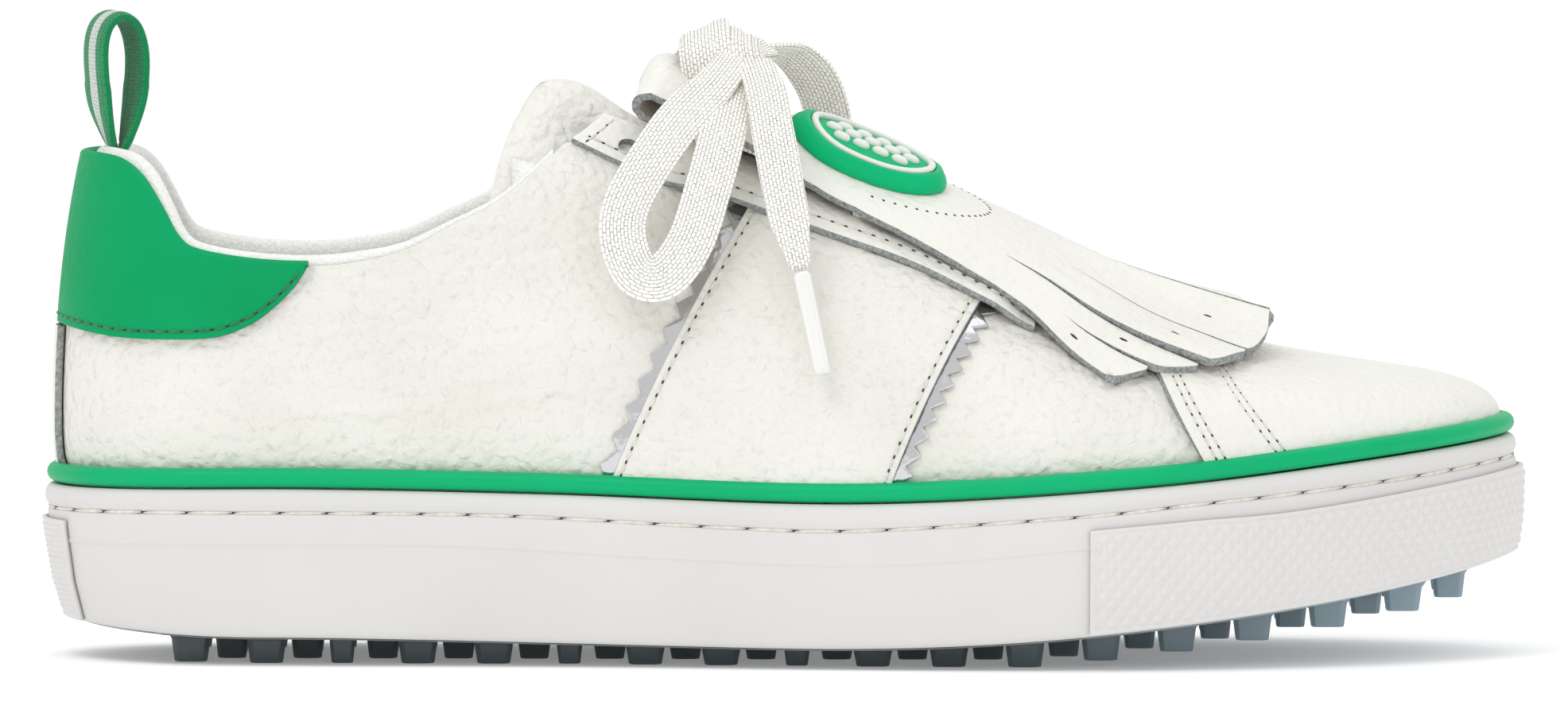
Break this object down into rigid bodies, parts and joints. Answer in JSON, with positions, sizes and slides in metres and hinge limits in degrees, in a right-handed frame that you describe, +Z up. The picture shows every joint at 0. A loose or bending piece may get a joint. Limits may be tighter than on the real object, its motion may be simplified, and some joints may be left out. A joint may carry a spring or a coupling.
{
  "type": "golf shoe",
  "caption": "Right-foot leather golf shoe with a cupsole, moulded studs, fringed kiltie flap with a badge, tied laces and a pull loop.",
  "frame": {"origin": "middle of the bounding box of the shoe without its laces, on the ground plane under the studs", "axes": "+X to the toe, +Y to the medial (big toe) side, +Z up"},
  "size_m": [0.2869, 0.102, 0.1246],
  "materials": {
    "aglet_far": "clear",
    "aglet_near": "clear",
    "backstay_strip": "pebbled grain",
    "badge_base": "satin",
    "badge_emblem": "satin",
    "badge_ring": "satin",
    "bow_far": "woven",
    "bow_near": "woven",
    "collar_lining": "mesh",
    "cupsole": "moulded",
    "eva_midsole": "foam",
    "eyestay_lateral": "pebbled grain",
    "eyestay_medial": "pebbled grain",
    "heel_bumper": "ribbed texture",
    "heel_counter": "matt",
    "heel_tab": "smooth",
    "kiltie_flap": "pebbled grain",
    "kiltie_fold": "pebbled grain",
    "lace_bar_1": "woven",
    "lace_bar_2": "woven",
    "lace_bar_3": "woven",
    "lace_bar_4": "woven",
    "lace_bar_5": "woven",
    "lace_knot": "woven",
    "lasting_board": "fibre board",
    "pinked_underlay_lateral": "mirror film on leather",
    "pinked_underlay_medial": "mirror film on leather",
    "piping_strip": "satin",
    "pull_loop": "webbing",
    "quarter_lateral": "pebbled grain",
    "quarter_medial": "pebbled grain",
    "saddle_panel_lateral": "pebbled grain",
    "saddle_panel_medial": "pebbled grain",
    "sockliner": "textile over foam",
    "tail_far": "woven",
    "tail_near": "woven",
    "toe_bumper": "diamond texture",
    "toe_cap": "pebbled grain",
    "toe_puff": "matt",
    "tongue": "pebbled grain",
    "tread_plate": "translucent",
    "vamp": "pebbled grain",
    "vamp_lining": "mesh"
  },
  "bodies": {
    "shoe": {"aglet_far": "aglet_far", "aglet_near": "aglet_near", "backstay_strip": "backstay_strip", "bow_far": "bow_far", "bow_near": "bow_near", "collar_lining": "collar_lining", "cupsole": "cupsole", "eva_midsole": "eva_midsole", "eyestay_lateral": "eyestay_lateral", "eyestay_medial": "eyestay_medial", "heel_bumper": "heel_bumper", "heel_counter": "heel_counter", "heel_tab": "heel_tab", "kiltie_fold": "kiltie_fold", "lace_bar_1": "lace_bar_1", "lace_bar_2": "lace_bar_2", "lace_bar_3": "lace_bar_3", "lace_bar_4": "lace_bar_4", "lace_bar_5": "lace_bar_5", "lace_knot": "lace_knot", "lasting_board": "lasting_board", "pinked_underlay_lateral": "pinked_underlay_lateral", "pinked_underlay_medial": "pinked_underlay_medial", "piping_strip": "piping_strip", "quarter_lateral": "quarter_lateral", "quarter_medial": "quarter_medial", "saddle_panel_lateral": "saddle_panel_lateral", "saddle_panel_medial": "saddle_panel_medial", "sockliner": "sockliner", "tail_far": "tail_far", "tail_near": "tail_near", "toe_bumper": "toe_bumper", "toe_cap": "toe_cap", "toe_puff": "toe_puff", "tongue": "tongue", "tread_plate": "tread_plate", "vamp": "vamp", "vamp_lining": "vamp_lining"},
    "kiltie": {"kiltie_flap": "kiltie_flap", "badge_base": "badge_base", "badge_ring": "badge_ring", "badge_emblem": "badge_emblem"},
    "loop": {"pull_loop": "pull_loop"}
  },
  "joints": [
    {"name": "kiltie_lift", "type": "hinge", "parent": "shoe", "child": "kiltie", "pos_m": [0.0021, 0, 0.10412], "axis": [0, -1, 0], "range_deg": [0, 40], "stiffness_Nm_per_rad": 0.004},
    {"name": "pull_loop_flex", "type": "hinge", "parent": "shoe", "child": "loop", "pos_m": [-0.1286, 0, 0.0986], "axis": [0, 1, 0], "range_deg": [-35, 60], "stiffness_Nm_per_rad": 0.004}
  ]
}
